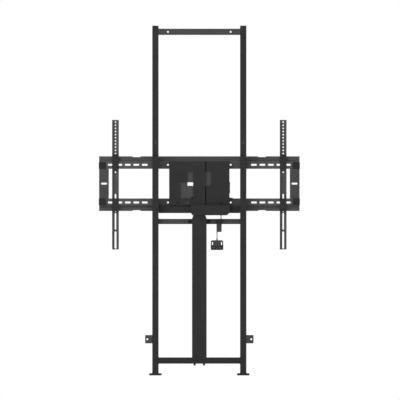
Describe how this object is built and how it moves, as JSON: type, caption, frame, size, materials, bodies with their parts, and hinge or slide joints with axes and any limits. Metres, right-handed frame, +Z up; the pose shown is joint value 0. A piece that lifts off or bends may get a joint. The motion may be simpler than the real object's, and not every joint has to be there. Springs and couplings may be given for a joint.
{
  "type": "motorized display stand",
  "caption": "Floor stand that leans on a wall and lifts a large display on a motor-driven telescopic column, with slotted rails, hooked arms and a corded handset.",
  "frame": {"origin": "on the floor, in the middle of the stand's width and of the foot plates' depth", "axes": "+Z up, +Y from the wall towards the display and its viewers, +X to the right for someone who looks along +Y, as in the picture"},
  "size_m": [1.282, 0.2, 2.23],
  "materials": {
    "dark_powder_coat": "fine-textured satin powder coat, near-black grey",
    "grey_powder_coat": "fine-textured satin powder coat, dark grey",
    "inner_tube_paint": "smooth semi-gloss paint, worn by the collar",
    "zinc_steel": "bright zinc plating",
    "black_zinc_steel": "black-passivated zinc plating",
    "gear_casting": "as cast",
    "motor_shell": "drawn steel can",
    "nut_bronze": "machined",
    "black_plastic": "fine spark-eroded grain",
    "slide_plastic": "smooth, slightly waxy",
    "button_plastic": "smooth soft-touch keys",
    "black_rubber": "matt"
  },
  "bodies": {
    "frame": {"foot_plate_left": "dark_powder_coat", "foot_plate_right": "dark_powder_coat", "foot_pads": "black_rubber", "lower_upright_left": "dark_powder_coat", "lower_upright_right": "dark_powder_coat", "upper_upright_left": "dark_powder_coat", "upper_upright_right": "dark_powder_coat", "joint_sleeves": "grey_powder_coat", "upright_caps": "black_plastic", "wall_tabs": "grey_powder_coat", "top_crossbar": "grey_powder_coat", "bottom_crossbar": "dark_powder_coat", "middle_crossbar": "grey_powder_coat", "outer_column": "dark_powder_coat", "column_foot": "zinc_steel", "column_bolts": "black_zinc_steel", "column_washers": "black_zinc_steel", "column_collar": "black_plastic", "column_brackets": "dark_powder_coat", "bracket_screws": "black_zinc_steel", "nut_tube": "zinc_steel", "spindle_nut": "nut_bronze"},
    "carriage": {"inner_column": "inner_tube_paint", "inner_glide": "slide_plastic", "head_housing": "dark_powder_coat", "head_cover": "dark_powder_coat", "gearbox": "gear_casting", "drive_motor": "motor_shell", "carriage_beam": "dark_powder_coat", "guide_shoes": "slide_plastic", "interface_plate": "grey_powder_coat", "cover_left": "dark_powder_coat", "cover_right": "dark_powder_coat", "cover_bolts": "black_zinc_steel", "rail_bolts": "black_zinc_steel", "upper_rail": "grey_powder_coat", "lower_rail": "grey_powder_coat", "rail_end_caps": "black_plastic", "rail_pads": "slide_plastic", "end_plate_left": "grey_powder_coat", "end_plate_right": "grey_powder_coat", "control_box": "black_plastic", "power_inlet": "black_plastic", "motor_lead": "black_rubber", "cord_grommet": "black_rubber", "handset_cord_upper": "black_rubber", "cord_box": "black_plastic", "handset_cord_lower": "black_rubber", "handset_front": "black_plastic", "handset_back": "black_plastic"},
    "spindle": {"spindle": "zinc_steel"},
    "arm_left": {"arm_left": "grey_powder_coat", "hook_left": "dark_powder_coat", "clamp_left": "dark_powder_coat"},
    "arm_right": {"arm_right": "grey_powder_coat", "hook_right": "dark_powder_coat", "clamp_right": "dark_powder_coat"},
    "button_down": {"button_down": "button_plastic"},
    "button_stop": {"button_stop": "button_plastic"},
    "button_up": {"button_up": "button_plastic"}
  },
  "joints": [
    {"name": "lift", "type": "slide", "parent": "frame", "child": "carriage", "axis": [0, 0, 1], "range_m": [0, 0.65]},
    {"name": "spindle_turn", "type": "hinge", "parent": "carriage", "child": "spindle", "pos_m": [0, -0.07, 1], "axis": [0, 0, 1], "range_deg": [-1, 11701]},
    {"name": "arm_left_slide", "type": "slide", "parent": "carriage", "child": "arm_left", "axis": [1, 0, 0], "range_m": [-0.02, 0.1845]},
    {"name": "arm_right_slide", "type": "slide", "parent": "carriage", "child": "arm_right", "axis": [1, 0, 0], "range_m": [-0.1845, 0.02]},
    {"name": "button_down_press", "type": "slide", "parent": "carriage", "child": "button_down", "axis": [0, 1, 0], "range_m": [0, 0.0012], "stiffness_N_per_m": 1200, "springref_m": -0.0004},
    {"name": "button_stop_press", "type": "slide", "parent": "carriage", "child": "button_stop", "axis": [0, 1, 0], "range_m": [0, 0.0012], "stiffness_N_per_m": 1200, "springref_m": -0.0004},
    {"name": "button_up_press", "type": "slide", "parent": "carriage", "child": "button_up", "axis": [0, 1, 0], "range_m": [0, 0.0012], "stiffness_N_per_m": 1200, "springref_m": -0.0004}
  ],
  "couplings": [
    {"joint": "spindle_turn", "follows": "lift", "rad_per_m": 314.16}
  ]
}
